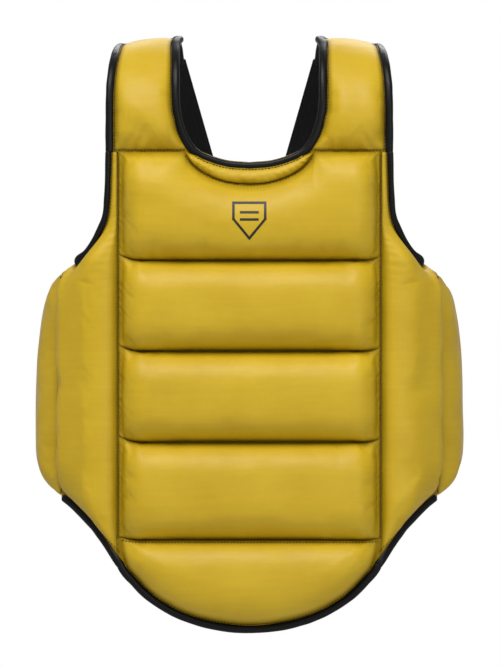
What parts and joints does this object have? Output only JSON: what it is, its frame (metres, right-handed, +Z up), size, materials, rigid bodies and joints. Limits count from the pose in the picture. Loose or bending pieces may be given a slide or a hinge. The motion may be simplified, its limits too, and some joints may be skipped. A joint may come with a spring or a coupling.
{
  "type": "padded chest protector",
  "caption": "Gold quilted chest and rib guard for martial arts sparring, with folding padded wings and shoulders and a black elastic back harness closed by hook-and-loop waist belts.",
  "frame": {"origin": "middle of the flat lining pad that rests on the wearer's breastbone, level with the seam between the upper and middle bands", "axes": "+Z up towards the neck opening, the padded front faces -Y and the wearer stands on the +Y side, +X to the wearer's left"},
  "size_m": [0.4494, 0.2428, 0.6204],
  "materials": {
    "cover": "satin gold synthetic leather",
    "foam": "closed-cell foam",
    "lining": "matte knitted lining",
    "edge_tape": "satin folded edge tape",
    "thread": "bonded sewing thread",
    "elastic": "ribbed woven elastic",
    "webbing_patch": "grained black synthetic leather",
    "loop_pile": "fuzzy loop pile",
    "hook_tape": "hook tape",
    "grip": "satin black synthetic leather"
  },
  "bodies": {
    "front": {"cover_front": "cover", "foam_chest": "foam", "foam_band_upper": "foam", "foam_band_middle": "foam", "foam_band_lower": "foam", "cover_neck_roll": "cover", "foam_neck_roll": "foam", "lining_front": "lining", "tape_neck": "edge_tape", "seam_threads": "thread"},
    "belly": {"cover_belly": "cover", "foam_belly": "foam", "lining_belly": "lining", "tape_belly": "edge_tape"},
    "harness": {"elastic_harness_left": "elastic", "elastic_harness_right": "elastic", "back_patch": "webbing_patch", "pile_patch": "loop_pile"},
    "wing_left": {"cover_wing_left": "cover", "foam_wing_left": "foam", "lining_wing_left": "lining", "tape_armhole_left": "edge_tape", "tape_hem_left": "edge_tape", "seam_thread_wing_left": "thread"},
    "side_left": {"cover_side_left": "cover", "foam_side_left": "foam", "lining_side_left": "lining", "tape_side_left": "edge_tape"},
    "shoulder_left": {"cover_shoulder_left": "cover", "foam_shoulder_left": "foam", "lining_shoulder_left": "lining", "tape_shoulder_outer_left": "edge_tape", "tape_shoulder_inner_left": "edge_tape"},
    "belt_left": {"elastic_belt_left": "elastic", "hook_tab_left": "hook_tape", "grip_tab_left": "grip"},
    "wing_right": {"cover_wing_right": "cover", "foam_wing_right": "foam", "lining_wing_right": "lining", "tape_armhole_right": "edge_tape", "tape_hem_right": "edge_tape", "seam_thread_wing_right": "thread"},
    "side_right": {"cover_side_right": "cover", "foam_side_right": "foam", "lining_side_right": "lining", "tape_side_right": "edge_tape"},
    "shoulder_right": {"cover_shoulder_right": "cover", "foam_shoulder_right": "foam", "lining_shoulder_right": "lining", "tape_shoulder_outer_right": "edge_tape", "tape_shoulder_inner_right": "edge_tape"},
    "belt_right": {"elastic_belt_right": "elastic", "hook_tab_right": "hook_tape", "grip_tab_right": "grip"}
  },
  "joints": [
    {"name": "wing_fold_left", "type": "hinge", "parent": "front", "child": "wing_left", "pos_m": [0.137, -0.0032, 0], "axis": [0, 0, 1], "range_deg": [-40, 0]},
    {"name": "side_fold_left", "type": "hinge", "parent": "wing_left", "child": "side_left", "pos_m": [0.19602, 0.053, 0], "axis": [0, 0, 1], "range_deg": [-40, 0]},
    {"name": "belt_open_left", "type": "hinge", "parent": "side_left", "child": "belt_left", "pos_m": [0.20447, 0.14963, -0.046], "axis": [0, 0, 1], "range_deg": [-90, 0]},
    {"name": "wing_fold_right", "type": "hinge", "parent": "front", "child": "wing_right", "pos_m": [-0.137, -0.0032, 0], "axis": [0, 0, -1], "range_deg": [-40, 0]},
    {"name": "side_fold_right", "type": "hinge", "parent": "wing_right", "child": "side_right", "pos_m": [-0.19602, 0.053, 0], "axis": [0, 0, -1], "range_deg": [-40, 0]},
    {"name": "belt_open_right", "type": "hinge", "parent": "side_right", "child": "belt_right", "pos_m": [-0.20447, 0.14963, -0.046], "axis": [0, 0, -1], "range_deg": [-90, 0]},
    {"name": "shoulder_sink_left", "type": "hinge", "parent": "front", "child": "shoulder_left", "pos_m": [0.1, -0.0032, 0.2075], "axis": [1, 0, 0], "range_deg": [-28, 0]},
    {"name": "shoulder_sink_right", "type": "hinge", "parent": "front", "child": "shoulder_right", "pos_m": [-0.1, -0.0032, 0.2075], "axis": [1, 0, 0], "range_deg": [-28, 0]},
    {"name": "harness_swing", "type": "hinge", "parent": "shoulder_left", "child": "harness", "pos_m": [0, 0.1151, 0.29988], "axis": [-1, 0, 0], "range_deg": [0, 22]},
    {"name": "belly_fold", "type": "hinge", "parent": "front", "child": "belly", "pos_m": [0, -0.0032, -0.1966], "axis": [-1, 0, 0], "range_deg": [-6, 16]}
  ],
  "couplings": [
    {"joint": "shoulder_sink_right", "follows": "shoulder_sink_left", "ratio": 1}
  ]
}
